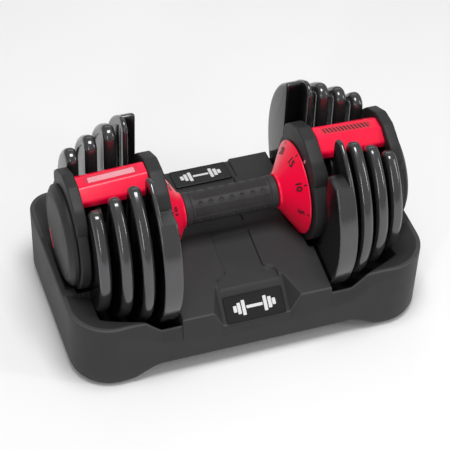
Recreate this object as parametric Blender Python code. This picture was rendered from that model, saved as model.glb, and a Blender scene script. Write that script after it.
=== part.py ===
"""Adjustable dumbbell docked in its storage tray.

World frame: X along the handle, -Y the front, +Z up, origin on the floor under the middle
of the tray. The handle's axis runs along X at height AXIS_Z. Everything that turns or lifts
is modelled about that axis, and the right half's pieces are mirrored to make the left half's.
"""
import math

import bmesh
import bpy
from mathutils import Matrix, Vector

MM = 0.001

# Driving dimensions.
AXIS_Z = 129 * MM            # handle axis above the floor
GAP = 0.3 * MM               # gap left between pieces that touch

GRIP_R = 18 * MM
GRIP_HALF = 51.7 * MM        # half the length of the rubber sleeve
SHAFT_R = 12 * MM            # shaft inside the grip, dials and inner bushes
SPINDLE_R = 9 * MM           # shaft where it carries the selector discs
THREAD_R = 7 * MM            # threaded end under the end cap
DIAL_IN, DIAL_OUT = 52 * MM, 75.4 * MM
DIAL_SMALL_R, DIAL_BIG_R = 19 * MM, 51 * MM

HOUSING_R = 60 * MM          # round lower part of a housing
INNER_X0, INNER_X1 = 76.6 * MM, 92 * MM
OUTER_X0, OUTER_X1 = 165.5 * MM, 177.5 * MM
CAP_X0, CAP_X1, CAP_R = 177.8 * MM, 187 * MM, 54 * MM

PLATE_T = 13 * MM            # thickness of the three outer plates
PLATE_PITCH = 20.2 * MM
PLATE_RADII = (112 * MM, 106 * MM, 97.5 * MM, 87.5 * MM)
PLATE_BACK = 104 * MM        # outboard face of the innermost plate
FIRST_FRONT = 84 * MM        # inboard face of the innermost plate
FIRST_WEB = 99.2 * MM        # floor of the pocket in the innermost plate
SLOT_HALF = 37 * MM
TIP_R = 12 * MM
POCKET_R = 62 * MM
RELIEF_Z = 70 * MM           # the front horn of the innermost plate is thin above this

TAB_LOW, TAB_HIGH, TAB_HALF, TAB_OUT = 45 * MM, 40 * MM, 4 * MM, 3.2 * MM
DISC_R, RING_R, HUB_R = 50 * MM, 47.3 * MM, 14 * MM
DISC_LEN, DISC_CLEAR, DISC_WEB = 6.1 * MM, 0.5 * MM, 2.2 * MM

BRIDGE_Y, BRIDGE_FLAT = 21 * MM, 8 * MM
BRIDGE_TOP_IN, BRIDGE_TOP_OUT = 72.5 * MM, 68.5 * MM
BRIDGE_LOW = 52 * MM
BOLT_Y, BOLT_Z, BOLT_R = 15 * MM, 57 * MM, 2 * MM

PIN_X, PIN_R, COLLAR_R, PIN_BORE_R = 81.3 * MM, 2.4 * MM, 3.5 * MM, 3.9 * MM
PIN_TIP, PIN_SEAT, PIN_TOP = -62 * MM, -56 * MM, -30 * MM
PIN_DROP = 4 * MM

TRAY_HX, TRAY_HY = 196 * MM, 109 * MM
FRONT_CORNER, REAR_CORNER = 46 * MM, 26 * MM
RIM_Z = 86 * MM
RIDGE_Z, FRONT_SLOPE, REAR_SLOPE = 90 * MM, 0.15, 0.045
BLOCK_Z = 92 * MM            # top of the block that the tray is cut from
SADDLE_X = 82.5 * MM         # where the saddle ends and the plate wells begin
SADDLE_END = SADDLE_X + 0.8 * MM  # the cut over the saddle runs a little past it
RIM_RISE = ((95 * MM, 76 * MM), (115 * MM, 82 * MM), (142 * MM, 86 * MM))  # rim beside the wells, (x, z)
RIM_NOTCH = 68.5 * MM        # height of the rim where it starts, at the saddle's edge
REAR_RISE = ((95 * MM, 87 * MM), (115 * MM, 89 * MM), (142 * MM, 90 * MM))
REAR_NOTCH, REAR_RIM_Z = 86 * MM, 90 * MM
REAR_Y = 95 * MM             # the rim has its rear height from here on
WELL_ROOM = 8 * MM           # space round the plates in their well
SCOOP_X, SCOOP_Y = 110 * MM, 44.5 * MM   # inner edges of the scooped corners
SCOOP_EDGE, SCOOP_REACH, SCOOP_DROP = 4 * MM, 36 * MM, 16 * MM
WALL = 3 * MM
FOOT_H, FOOT_R = 2.7 * MM, 9 * MM
FOOT_X, FOOT_Y = 160 * MM, 76 * MM
ARCH_Z, ARCH_X0, ARCH_X1 = 20 * MM, 108 * MM, 142 * MM
# Each badge ramp: upper and lower edge as (y, z), and how far down it the badge starts.
RAMPS = {"front": ((-70 * MM, 81 * MM), (-116 * MM, 40 * MM), 15 * MM),
         "rear": ((76 * MM, 85.2 * MM), (118 * MM, 80.9 * MM), 1.2 * MM)}
RAMP_HALF = 37 * MM
BADGE_HALF, BADGE_LEN, BADGE_T = 33 * MM, 30 * MM, 1.5 * MM

COLOURS = {                  # base colour, roughness, metallic
    "tray_plastic": ((0.045, 0.046, 0.048), 0.55, 0.0),
    "housing_plastic": ((0.03, 0.03, 0.032), 0.5, 0.0),
    "red_plastic": ((0.75, 0.01, 0.035), 0.35, 0.0),
    "pink_mark": ((0.95, 0.25, 0.35), 0.4, 0.0),
    "plate_steel": ((0.06, 0.06, 0.065), 0.2, 0.9),
    "grip_rubber": ((0.02, 0.02, 0.02), 0.7, 0.0),
    "shaft_steel": ((0.5, 0.5, 0.52), 0.3, 1.0),
    "selector_nylon": ((0.1, 0.1, 0.1), 0.5, 0.0),
    "bush_brass": ((0.7, 0.5, 0.2), 0.35, 1.0),
    "foot_rubber": ((0.02, 0.02, 0.02), 0.85, 0.0),
    "badge_black": ((0.015, 0.015, 0.016), 0.35, 0.0),
}


def clear_scene():
    for item in list(bpy.data.objects):
        bpy.data.objects.remove(item, do_unlink=True)


def material(name):
    found = bpy.data.materials.get(name)
    if found:
        return found
    colour, rough, metal = COLOURS[name]
    made = bpy.data.materials.new(name)
    made.use_nodes = True
    shader = made.node_tree.nodes["Principled BSDF"]
    shader.inputs["Base Color"].default_value = (*colour, 1.0)
    shader.inputs["Roughness"].default_value = rough
    shader.inputs["Metallic"].default_value = metal
    return made


def empty(name, location, parent=None):
    item = bpy.data.objects.new(name, None)
    bpy.context.collection.objects.link(item)
    item.location = location
    item.parent = parent
    return item


def build(name, bm, finish=None, parent=None, side=1, sharp=35):
    """Turn a bmesh into an object, mirrored in X for the left side."""
    if side < 0:
        bmesh.ops.scale(bm, vec=(-1, 1, 1), verts=bm.verts)
    bmesh.ops.remove_doubles(bm, verts=bm.verts, dist=0.00001)
    bmesh.ops.recalc_face_normals(bm, faces=bm.faces)
    mesh = bpy.data.meshes.new(name)
    bm.to_mesh(mesh)
    bm.free()
    mesh.shade_smooth()
    mesh.set_sharp_from_angle(angle=math.radians(sharp))
    item = bpy.data.objects.new(name, mesh)
    bpy.context.collection.objects.link(item)
    item.parent = parent
    if finish:
        mesh.materials.append(material(finish))
    return item


def boolean(item, cutter, operation="DIFFERENCE"):
    """Cut or join with another object, which stays in the scene as a hidden guide."""
    step = item.modifiers.new(cutter.name, "BOOLEAN")
    step.operation = operation
    step.solver = "EXACT"
    step.object = cutter
    cutter.hide_render = True
    cutter.display_type = "WIRE"
    return item


def arc(radius, start, stop, count, centre=(0.0, 0.0)):
    """Points on a circular arc, angles in degrees, both ends included."""
    angles = [math.radians(start + (stop - start) * i / (count - 1)) for i in range(count)]
    return [(centre[0] + radius * math.cos(a), centre[1] + radius * math.sin(a)) for a in angles]


def skin(loops):
    """Closed body through rings of points that have the same count, with flat ends."""
    bm = bmesh.new()
    rings = [[bm.verts.new(p) for p in loop] for loop in loops]
    count = len(rings[0])
    for low, high in zip(rings, rings[1:]):
        for i in range(count):
            j = (i + 1) % count
            bm.faces.new((low[i], low[j], high[j], high[i]))
    bm.faces.new(rings[0])
    bm.faces.new(rings[-1])
    return bm


def prism_x(outline, x0, x1):
    """Extrude a (y, z) outline from x0 to x1."""
    return skin([[(x, y, z) for y, z in outline] for x in (x0, x1)])


def prism_y(outline, y0, y1):
    """Extrude an (x, z) outline from y0 to y1."""
    return skin([[(x, y, z) for x, z in outline] for y in (y0, y1)])


def block(low, high):
    (x0, y0, z0), (x1, y1, z1) = low, high
    return prism_x([(y0, z0), (y1, z0), (y1, z1), (y0, z1)], x0, x1)


def turned(profile, segments):
    """Closed ring: an (x, radius) profile that is a closed loop, turned about the X axis."""
    bm = bmesh.new()
    rings = []
    for i in range(segments):
        a = math.tau * i / segments
        rings.append([bm.verts.new((x, r * math.cos(a), r * math.sin(a))) for x, r in profile])
    count = len(profile)
    for i in range(segments):
        this, after = rings[i], rings[(i + 1) % segments]
        for j in range(count):
            k = (j + 1) % count
            bm.faces.new((this[j], this[k], after[k], after[j]))
    return bm


def solid_turned(profile, segments, phase=0.0):
    """Solid of revolution about the X axis: an open (x, radius) profile with capped ends."""
    loops = []
    for x, r in profile:
        angles = [math.tau * (i + phase) / segments for i in range(segments)]
        loops.append([(x, r * math.cos(a), r * math.sin(a)) for a in angles])
    return skin(loops)


def upright(bm, x, y=0.0):
    """Stand a body made about the X axis up along Z, at the given place."""
    bmesh.ops.rotate(bm, cent=(0, 0, 0), matrix=Matrix.Rotation(-math.pi / 2, 3, "Y"), verts=bm.verts)
    bmesh.ops.translate(bm, vec=(x, y, 0), verts=bm.verts)
    return bm


def moved(bm, x, y, z):
    bmesh.ops.translate(bm, vec=(x, y, z), verts=bm.verts)
    return bm


# ---------------------------------------------------------------- handle

def grip(parent):
    bore = SHAFT_R + GAP
    profile = [(-GRIP_HALF, bore), (GRIP_HALF, bore), (GRIP_HALF, GRIP_R - 1 * MM),
               (GRIP_HALF - 1 * MM, GRIP_R), (1 * MM - GRIP_HALF, GRIP_R), (-GRIP_HALF, GRIP_R - 1 * MM)]
    build("grip_sleeve", turned(profile, 32), "grip_rubber", parent)


def shaft(parent):
    half = [(INNER_X1 + GAP, SHAFT_R), (INNER_X1 + GAP, SPINDLE_R), (OUTER_X1, SPINDLE_R),
            (OUTER_X1, THREAD_R), (183 * MM, THREAD_R)]
    profile = [(-x, r) for x, r in reversed(half)] + half
    build("handle_shaft", solid_turned(profile, 24), "shaft_steel", parent)


def dial(parent, side, word):
    """Cone dial: a dished shell around a hub, its wide rim facing the housing."""
    bore, hub = SHAFT_R + GAP, 17 * MM
    profile = [(DIAL_IN, bore), (DIAL_IN, DIAL_SMALL_R), (DIAL_OUT - 1.4 * MM, DIAL_BIG_R),
               (DIAL_OUT, DIAL_BIG_R), (DIAL_OUT, DIAL_BIG_R - 3 * MM), (DIAL_IN + 5 * MM, hub + 4 * MM),
               (DIAL_IN + 5 * MM, hub), (DIAL_OUT, hub), (DIAL_OUT, bore)]
    build(f"dial_{word}", turned(profile, 30), "red_plastic", parent, side)


def plate_front(index):
    """Face that a plate's tab stands on: its own inboard face, or the pocket floor."""
    if index == 0:
        return FIRST_WEB
    return PLATE_BACK + PLATE_PITCH * index - PLATE_T


def selector_disc(parent, side, word, index):
    """Disc on the shaft whose rim ring passes under a plate's tab and lifts it."""
    bore = SPINDLE_R + GAP
    x1 = plate_front(index) - DISC_CLEAR
    x0 = x1 - DISC_LEN
    hub_end = plate_front(index + 1) - DISC_CLEAR - DISC_LEN - GAP if index < 3 else OUTER_X0 - GAP
    profile = [(x0, bore), (hub_end, bore), (hub_end, HUB_R), (x0 + DISC_WEB, HUB_R),
               (x0 + DISC_WEB, RING_R), (x1, RING_R), (x1, DISC_R), (x0, DISC_R)]
    disc = build(f"selector_disc_{word}_{index + 1}", turned(profile, 16), "selector_nylon", parent, side)
    middle = 60 + 60 * index
    wedge = arc(RING_R - 2 * MM, middle + 20, middle - 20, 3) + arc(DISC_R * 1.2, middle - 20, middle + 20, 3)
    notch = build(f"ring_gap_{word}_{index + 1}", prism_x(wedge, x0 + DISC_WEB + 0.01 * MM, x1 + 1 * MM),
                  parent=parent, side=side)
    return boolean(disc, notch)


def shaft_nut(parent, side, word):
    x0, x1 = OUTER_X1 + GAP + 0.4 * MM, 182.5 * MM
    bore = THREAD_R + GAP
    body = build(f"shaft_nut_{word}", prism_x(arc(13 * MM, 0, 300, 6), x0, x1), "shaft_steel", parent, side)
    hole = build(f"nut_hole_{word}", solid_turned([(x0 - 1 * MM, bore), (x1 + 1 * MM, bore)], 16),
                 parent=parent, side=side)
    boolean(body, hole)


# ---------------------------------------------------------------- lifting frame

def housing_outline(inset=0.0):
    """Round below, with shoulders rising to a narrow flat top, as (y, z)."""
    below = arc(HOUSING_R - inset, 42, -222, 23)
    top = [(-44 * MM + inset, 50 * MM), (-34 * MM + inset, 62 * MM - inset), (-10 * MM, 74 * MM - inset)]
    return below + top + [(-y, z) for y, z in reversed(top)]


def housing(name, parent, side, x0, x1, bore):
    edge = 1.5 * MM
    rings = [(x0, edge), (x0 + edge, 0), (x1 - edge, 0), (x1, edge)]
    body = skin([[(x, y, z) for y, z in housing_outline(inset)] for x, inset in rings])
    item = build(name, body, "housing_plastic", parent, side)
    hole = build(f"{name}_bore", solid_turned([(x0 - 1 * MM, bore), (x1 + 1 * MM, bore)], 24),
                 parent=parent, side=side)
    return boolean(item, hole)


def bolt_holes(item, parent, side, x0, x1, radius):
    for y in (-BOLT_Y, BOLT_Y):
        hole = build(f"{item.name}_bolt_hole", moved(solid_turned([(x0, radius), (x1, radius)], 12), 0, y, BOLT_Z),
                     parent=parent, side=side)
        boolean(item, hole)


def inner_housing(parent, side, word):
    item = housing(f"inner_housing_{word}", parent, side, INNER_X0, INNER_X1, HUB_R + GAP)
    profile = [(PIN_TOP, PIN_BORE_R), (PIN_SEAT, PIN_BORE_R), (PIN_SEAT, PIN_R + GAP),
               (-HOUSING_R - 2 * MM, PIN_R + GAP)]
    cavity = build(f"pin_cavity_{word}", upright(solid_turned(profile, 16), PIN_X), parent=parent, side=side)
    boolean(item, cavity)
    bolt_holes(item, parent, side, INNER_X1 - 8.5 * MM, INNER_X1 + 1 * MM, BOLT_R + GAP)


def outer_housing(parent, side, word):
    item = housing(f"outer_housing_{word}", parent, side, OUTER_X0, OUTER_X1, SPINDLE_R + 3 * MM)
    bolt_holes(item, parent, side, OUTER_X0 - 1 * MM, OUTER_X1 + 1 * MM, BOLT_R + GAP)
    bolt_holes(item, parent, side, OUTER_X1 - 3 * MM, OUTER_X1 + 1.5 * MM, 4 * MM + GAP)


def bridge(parent, side, word):
    """Red bar over the plates: flat top, sloping shoulders, a little lower at its outer end."""
    def section(x, top):
        right = [(BRIDGE_FLAT, top), (BRIDGE_Y, top - 12 * MM), (BRIDGE_Y, BRIDGE_LOW)]
        return [(x, y, z) for y, z in right + [(-y, z) for y, z in reversed(right)]]
    loops = [section(INNER_X1 + GAP, BRIDGE_TOP_IN), section(OUTER_X0 - GAP, BRIDGE_TOP_OUT)]
    item = build(f"bridge_{word}", skin(loops), "red_plastic", parent, side)
    boolean(item, label_body(f"label_seat_{word}", parent, side, GAP, 0.8 * MM, 3 * MM))
    bolt_holes(item, parent, side, INNER_X1 - 1 * MM, OUTER_X0 + 1 * MM, BOLT_R + GAP)


def label_body(name, parent, side, grow, below, above, finish=None):
    """Thin rounded bar that follows the bridge's sloping top."""
    x0, x1, half = 101 * MM - grow, 156 * MM + grow, 5 * MM + grow
    slope = (BRIDGE_TOP_OUT - BRIDGE_TOP_IN) / (OUTER_X0 - INNER_X1)
    ends = arc(half, 90, 270, 7, (x0 + half, 0)) + arc(half, -90, 90, 7, (x1 - half, 0))
    rise = [(x, y, BRIDGE_TOP_IN + slope * (x - INNER_X1)) for x, y in ends]
    loops = [[(x, y, z + offset) for x, y, z in rise] for offset in (-below, above)]
    return build(name, skin(loops), finish, parent, side)


def bridge_label(parent, side, word):
    label_body(f"bridge_label_{word}", parent, side, 0, 0.8 * MM - GAP, GAP, "badge_black")


def pointer(parent, side, word):
    """Small tick on the housing beside the dial's rim."""
    body = block((INNER_X0 - GAP - 0.7 * MM, -1.2 * MM, 52.5 * MM), (INNER_X0 - GAP, 1.2 * MM, 58 * MM))
    bmesh.ops.rotate(body, cent=(0, 0, 0), matrix=Matrix.Rotation(math.radians(20), 3, "X"), verts=body.verts)
    build(f"pointer_{word}", body, "pink_mark", parent, side)


def end_cap(parent, side, word):
    wall = 3 * MM
    profile = [(CAP_X1 - wall, CAP_R - wall), (CAP_X0, CAP_R - wall), (CAP_X0, CAP_R),
               (CAP_X1 - 3 * MM, CAP_R), (CAP_X1, CAP_R - 3 * MM)]
    item = build(f"end_cap_{word}", solid_turned(profile, 32), "housing_plastic", parent, side)
    boolean(item, accent_body(f"accent_seat_{word}", parent, side, GAP, 0.8 * MM, 1 * MM))


def accent_body(name, parent, side, grow, below, above, finish=None):
    """Slim arc let into the end cap's face."""
    spread = math.degrees(grow / (44 * MM))
    outer = arc(46 * MM + grow, -60 - spread, -30 + spread, 8)
    inner = arc(43 * MM - grow, -30 + spread, -60 - spread, 8)
    return build(name, prism_x(outer + inner, CAP_X1 - below, CAP_X1 + above), finish, parent, side)


def bush(name, parent, side, x0, x1, inner, outer):
    profile = [(x0, inner), (x1, inner), (x1, outer), (x0, outer)]
    build(name, turned(profile, 20), "bush_brass", parent, side)


def tie_bolt(parent, side, word, place, y):
    profile = [(INNER_X1 - 8 * MM, BOLT_R), (OUTER_X1 - 2.7 * MM, BOLT_R),
               (OUTER_X1 - 2.7 * MM, 4 * MM), (OUTER_X1 - 0.4 * MM, 4 * MM)]
    build(f"tie_bolt_{word}_{place}", moved(solid_turned(profile, 10), 0, y, BOLT_Z), "shaft_steel", parent, side)


def lock_pin(parent, side, word):
    profile = [(PIN_TIP, PIN_R), (PIN_SEAT + PIN_DROP, PIN_R), (PIN_SEAT + PIN_DROP, COLLAR_R),
               (PIN_SEAT + PIN_DROP + 3 * MM, COLLAR_R)]
    build(f"lock_pin_{word}", upright(solid_turned(profile, 12), 0), "shaft_steel", parent)


def pin_spring(parent, side, word):
    """Coil spring above the lock pin's collar."""
    low, high = PIN_SEAT + PIN_DROP + 3 * MM + 2 * GAP, PIN_TOP - GAP
    wire, radius, turns, steps, sides = 0.45 * MM, 2.8 * MM, 5, 8, 4
    rise = high - low - 2 * wire
    loops = []
    for i in range(turns * steps + 1):
        t = i / steps
        z = low + wire + rise * t / turns
        centre = Vector((radius * math.cos(math.tau * t), radius * math.sin(math.tau * t), z))
        out = Vector((math.cos(math.tau * t), math.sin(math.tau * t), 0))
        ring = [out * math.cos(math.tau * k / sides) + Vector((0, 0, math.sin(math.tau * k / sides)))
                for k in range(sides)]
        loops.append([centre + wire * p for p in ring])
    build(f"pin_spring_{word}", skin(loops), "shaft_steel", parent, sharp=180)


# ---------------------------------------------------------------- plates

def plate_outline(radius, inset):
    """Disc with a U slot open at the top and two round-ended horns, as (y, z)."""
    y_tip = SLOT_HALF + TIP_R
    z_tip = math.sqrt((radius - TIP_R) ** 2 - y_tip ** 2)
    lean = math.degrees(math.atan2(z_tip, y_tip))
    tip = TIP_R - inset
    rim = arc(radius - inset, lean, -180 - lean, 23)
    rear_tip = arc(tip, 180 - lean, 0, 5, (-y_tip, z_tip))[1:]
    slot = arc(SLOT_HALF + inset, 180, 360, 9)
    front_tip = arc(tip, 180, lean, 5, (y_tip, z_tip))[:-1]
    return rim + rear_tip + slot + front_tip


def plate_body(radius, x0, x1, recess_in, recess_out):
    """Plate with chamfered rims and shallow recesses in the faces that have one."""
    band, step, deep, edge = 10 * MM, 11 * MM, 2 * MM, 2.5 * MM
    rings = [(x0, edge), (x0 + edge, 0), (x1 - edge, 0), (x1, edge)]
    if recess_in:
        rings = [(x0 + deep, step), (x0, band)] + rings
    if recess_out:
        rings = rings + [(x1, band), (x1 - deep, step)]
    return skin([[(x, y, z) for y, z in plate_outline(radius, inset)] for x, inset in rings])


def plate(parent, side, word, index):
    x1 = PLATE_BACK + PLATE_PITCH * index
    x0 = FIRST_FRONT if index == 0 else x1 - PLATE_T
    radius = PLATE_RADII[index]
    body = plate_body(radius, x0, x1, index > 0, index < 3)
    item = build(f"plate_{word}_{index + 1}", body, "plate_steel", parent, side)
    if index == 0:
        boolean(item, pocket(f"plate_pocket_{word}", parent, side, radius))
    face = plate_front(index)
    tab = build(f"plate_tab_{word}_{index + 1}",
                block((face - TAB_OUT, -TAB_HALF, -TAB_LOW), (face + 3 * MM, TAB_HALF, -TAB_HIGH)),
                parent=parent, side=side)
    boolean(item, tab, "UNION")


def pocket(name, parent, side, radius):
    """Room for the inner housing, and the relief that thins the front horn."""
    wide = radius + 1 * MM
    below = arc(POCKET_R, 0, -180, 19)
    outline = below + [(-POCKET_R, RELIEF_Z), (-wide, RELIEF_Z), (-wide, wide), (POCKET_R, wide)]
    return build(name, prism_x(outline, FIRST_FRONT - 1 * MM, FIRST_WEB), parent=parent, side=side)


# ---------------------------------------------------------------- tray

def rounded_rect(inset, steps=6, draw=0.0):
    """Plan of the tray, drawn in; its rear corners are tighter than its front ones."""
    hx, hy = TRAY_HX - draw - inset, TRAY_HY - 1.5 * draw - inset
    rear, front = REAR_CORNER - inset, FRONT_CORNER - inset
    points = []
    for sx, sy, start, corner in ((1, 1, 0, rear), (-1, 1, 90, rear), (-1, -1, 180, front), (1, -1, 270, front)):
        points += arc(corner, start, start + 90, steps, (sx * (hx - corner), sy * (hy - corner)))
    return points


def tray_block(inset, low, high):
    """Outer form of the tray, drawn in a little towards the floor."""
    rings = [(low, 3), (low + 4 * MM, 1), (RIM_Z - 26 * MM, 0.4), (high, 0)]
    loops = []
    for z, draw in rings:
        loops.append([(x, y, z) for x, y in rounded_rect(inset, draw=draw * MM)])
    return skin(loops)


def well_profile(grow):
    """Radius about the handle's axis of the room cut for one end, as (x, radius)."""
    first, last = PLATE_RADII[0] + WELL_ROOM + grow, PLATE_RADII[3] + WELL_ROOM + grow
    return [(50 * MM - grow, 20 * MM + grow), (75.8 * MM - grow, 54 * MM + grow),
            (75.8 * MM - grow, 66 * MM + grow), (SADDLE_X - grow, 66 * MM + grow),
            (SADDLE_X - grow, first), (PLATE_BACK + 1 * MM, first),
            (164.9 * MM + grow, last), (164.9 * MM + grow, HOUSING_R + 3 * MM + grow),
            (179 * MM + grow, HOUSING_R + 3 * MM + grow), (180 * MM + grow, CAP_R + 3 * MM + grow),
            (189.5 * MM + grow, CAP_R + 3 * MM + grow)]


def well(name, parent, side, grow):
    body = moved(solid_turned(well_profile(grow), 48, 0.5), 0, 0, AXIS_Z)
    return build(name, body, parent=parent, side=side)


def saddle_outline(drop, reach):
    """Everything above the saddle and the rims, seen along X, as (y, z)."""
    front, rear = RIDGE_Z - FRONT_SLOPE * reach - drop, RIDGE_Z - REAR_SLOPE * reach - drop
    return [(-reach, front), (0, RIDGE_Z - drop), (reach, rear), (reach, 0.2), (-reach, 0.2)]


def tray(parent):
    base = FOOT_H + GAP
    shell = build("tray_shell", tray_block(0, base, BLOCK_Z), "tray_plastic", parent, sharp=30)
    over = build("over_saddle", prism_x(saddle_outline(0, 0.13), -SADDLE_END, SADDLE_END), parent=parent)
    boolean(shell, over)
    for side, word in ((-1, "left"), (1, "right")):
        boolean(shell, over_rims(f"over_rims_{word}", parent, side, SADDLE_END - 0.4 * MM, 0))
        boolean(shell, well(f"well_{word}", parent, side, 0))
        for sy in (-1, 1):
            boolean(shell, scoop(f"scoop_{word}_{sy}", parent, side, sy, 0))
    boolean(shell, hollow(parent, base))
    for sy, place in ((-1, "front"), (1, "rear")):
        boolean(shell, arch(place, parent, sy))
        boolean(shell, ramp(f"ramp_{place}", parent, place, 0))
    return shell


def over_rims(name, parent, side, start, drop):
    """Everything above the rims of one end, which slope up from the saddle's edge."""
    def outline(y, notch, rise, rim):
        heights = [(start, notch)] + list(rise) + [(0.22, rim)]
        return [(x, y, z - drop) for x, z in heights] + [(0.22, y, 0.2), (start, y, 0.2)]
    front, rear = (RIM_NOTCH, RIM_RISE, RIM_Z), (REAR_NOTCH, REAR_RISE, REAR_RIM_Z)
    body = skin([outline(-0.13, *front), outline(SCOOP_Y, *front), outline(REAR_Y, *rear), outline(0.13, *rear)])
    bmesh.ops.triangulate(body, faces=body.faces)
    return build(name, body, parent=parent, side=side)


def scoop(name, parent, side, sy, grow):
    """Room that falls from a thin rim towards the plates' well, in one corner of the tray."""
    corner, rim = (FRONT_CORNER, RIM_Z) if sy < 0 else (REAR_CORNER, REAR_RIM_Z)
    loops = []
    for draw, z in ((SCOOP_EDGE - 0.25 * SCOOP_REACH, rim + 0.25 * SCOOP_DROP),
                    (SCOOP_EDGE + SCOOP_REACH, rim - SCOOP_DROP)):
        hx, hy = TRAY_HX - draw + grow, TRAY_HY - draw + grow
        bend = max(corner - draw, 3 * MM) + grow
        curve = arc(bend, 0, 90, 5, (hx - bend, hy - bend))
        points = [(SCOOP_X - grow, SCOOP_Y - grow), (hx, SCOOP_Y - grow)] + curve + [(SCOOP_X - grow, hy)]
        loops.append([(x, sy * y, z - grow) for x, y in points])
    return build(name, skin(loops), parent=parent, side=side)


def hollow(parent, base):
    """Underside of the moulding: the outer form drawn in by the wall, less what hangs into it."""
    body = tray_block(WALL, base - 1 * MM, BLOCK_Z + 8 * MM)
    item = build("underside", body, parent=parent)
    boolean(item, build("under_saddle", prism_x(saddle_outline(WALL, 0.13), -0.3, 0.3), parent=parent))
    for side, word in ((-1, "left"), (1, "right")):
        boolean(item, well(f"well_wall_{word}", parent, side, WALL))
        boolean(item, over_rims(f"rim_wall_{word}", parent, side, SADDLE_X - WALL, WALL))
        for sy in (-1, 1):
            boolean(item, scoop(f"scoop_wall_{word}_{sy}", parent, side, sy, WALL))
            post = upright(solid_turned([(0, FOOT_R + 3 * MM), (0.1, FOOT_R + 3 * MM)], 16),
                           FOOT_X, sy * FOOT_Y)
            boolean(item, build(f"foot_post_{word}_{sy}", post, parent=parent, side=side))
    for place in RAMPS:
        boolean(item, ramp(f"ramp_{place}_wall", parent, place, WALL))
    return item


def arch(place, parent, sy):
    outline = [(-ARCH_X1, -1 * MM), (-ARCH_X1, FOOT_H), (-ARCH_X0, ARCH_Z), (ARCH_X0, ARCH_Z),
               (ARCH_X1, FOOT_H), (ARCH_X1, -1 * MM)]
    y0, y1 = sorted((sy * 92 * MM, sy * 120 * MM))
    return build(f"arch_{place}", prism_y(outline, y0, y1), parent=parent)


def ramp_frame(place):
    """Unit vectors down a ramp and out of it, as (y, z)."""
    top, low, _ = RAMPS[place]
    along = (Vector(low) - Vector(top)).normalized()
    out = Vector((along.y, -along.x))
    return along, out if out.y > 0 else -out


def ramp(name, parent, place, grow):
    """Recess for a badge: a sloping floor with side walls that open outwards."""
    along, out = ramp_frame(place)
    top = Vector(RAMPS[place][0]) - along * grow
    low = Vector(RAMPS[place][1]) + along * grow
    loops = []
    for lift, half in ((-grow, RAMP_HALF + grow), (26 * MM, RAMP_HALF + 17 * MM + grow)):
        a, b = top + out * lift, low + out * lift
        corners = [(-half, a), (half, a), (half, b), (-half, b)]
        loops.append([(x, p.x, p.y) for x, p in corners])
    return build(name, skin(loops), parent=parent)


def badge(parent, place):
    """Blank plate lying on the ramp."""
    along, out = ramp_frame(place)
    start = Vector(RAMPS[place][0]) + along * RAMPS[place][2]
    loops = []
    for lift, edge in ((GAP, 0), (BADGE_T - 0.4 * MM, 0), (BADGE_T, 0.4 * MM)):
        a = start + out * lift + along * edge
        b = start + out * lift + along * (BADGE_LEN - edge)
        half = BADGE_HALF - edge
        corners = [(-half, a), (half, a), (half, b), (-half, b)]
        loops.append([(x, p.x, p.y) for x, p in corners])
    build(f"badge_{place}", skin(loops), "badge_black", parent)


def foot(parent, side, word, sy, place):
    profile = [(0, FOOT_R - 0.6 * MM), (0.6 * MM, FOOT_R), (FOOT_H, FOOT_R)]
    build(f"foot_{place}_{word}", upright(solid_turned(profile, 16), FOOT_X, sy * FOOT_Y), "foot_rubber",
          parent, side)


def peg(parent, side, word):
    """Post on the tray that pushes the lock pin up while the dumbbell is docked."""
    low, high = AXIS_Z - 66 * MM + GAP, AXIS_Z + PIN_TIP - GAP
    profile = [(low, 2.1 * MM), (high - 0.5 * MM, 2.1 * MM), (high, 1.6 * MM)]
    build(f"peg_{word}", upright(solid_turned(profile, 12), 80.2 * MM), "tray_plastic", parent, side)


def main():
    clear_scene()
    tray_frame = empty("tray_frame", (0, 0, 0))
    lift_frame = empty("lift_frame", (0, 0, AXIS_Z))
    turn_frame = empty("turn_frame", (0, 0, 0), lift_frame)
    grip(turn_frame)
    shaft(turn_frame)
    tray(tray_frame)
    for sy, place in ((-1, "front"), (1, "rear")):
        badge(tray_frame, place)
    for side, word in ((-1, "left"), (1, "right")):
        dial(turn_frame, side, word)
        shaft_nut(turn_frame, side, word)
        inner_housing(lift_frame, side, word)
        outer_housing(lift_frame, side, word)
        bridge(lift_frame, side, word)
        bridge_label(lift_frame, side, word)
        pointer(lift_frame, side, word)
        end_cap(lift_frame, side, word)
        accent_body(f"cap_accent_{word}", lift_frame, side, 0, 0.8 * MM - GAP, 0.2 * MM, "red_plastic")
        bush(f"inner_bush_{word}", lift_frame, side, INNER_X0, INNER_X1, SHAFT_R + GAP, HUB_R)
        bush(f"outer_bush_{word}", lift_frame, side, OUTER_X0, OUTER_X1, SPINDLE_R + GAP, SPINDLE_R + 2.7 * MM)
        for y, place in ((-BOLT_Y, "front"), (BOLT_Y, "rear")):
            tie_bolt(lift_frame, side, word, place, y)
        pin_frame = empty(f"pin_frame_{word}", (side * PIN_X, 0, 0), lift_frame)
        lock_pin(pin_frame, side, word)
        pin_spring(pin_frame, side, word)
        peg(tray_frame, side, word)
        for sy, place in ((-1, "front"), (1, "rear")):
            foot(tray_frame, side, word, sy, place)
        for index in range(4):
            plate_frame = empty(f"plate_frame_{word}_{index + 1}", (0, 0, AXIS_Z))
            plate(plate_frame, side, word, index)
            selector_disc(turn_frame, side, word, index)


main()
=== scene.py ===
import math

import bpy
import numpy as np
from mathutils import Matrix, Vector


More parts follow.
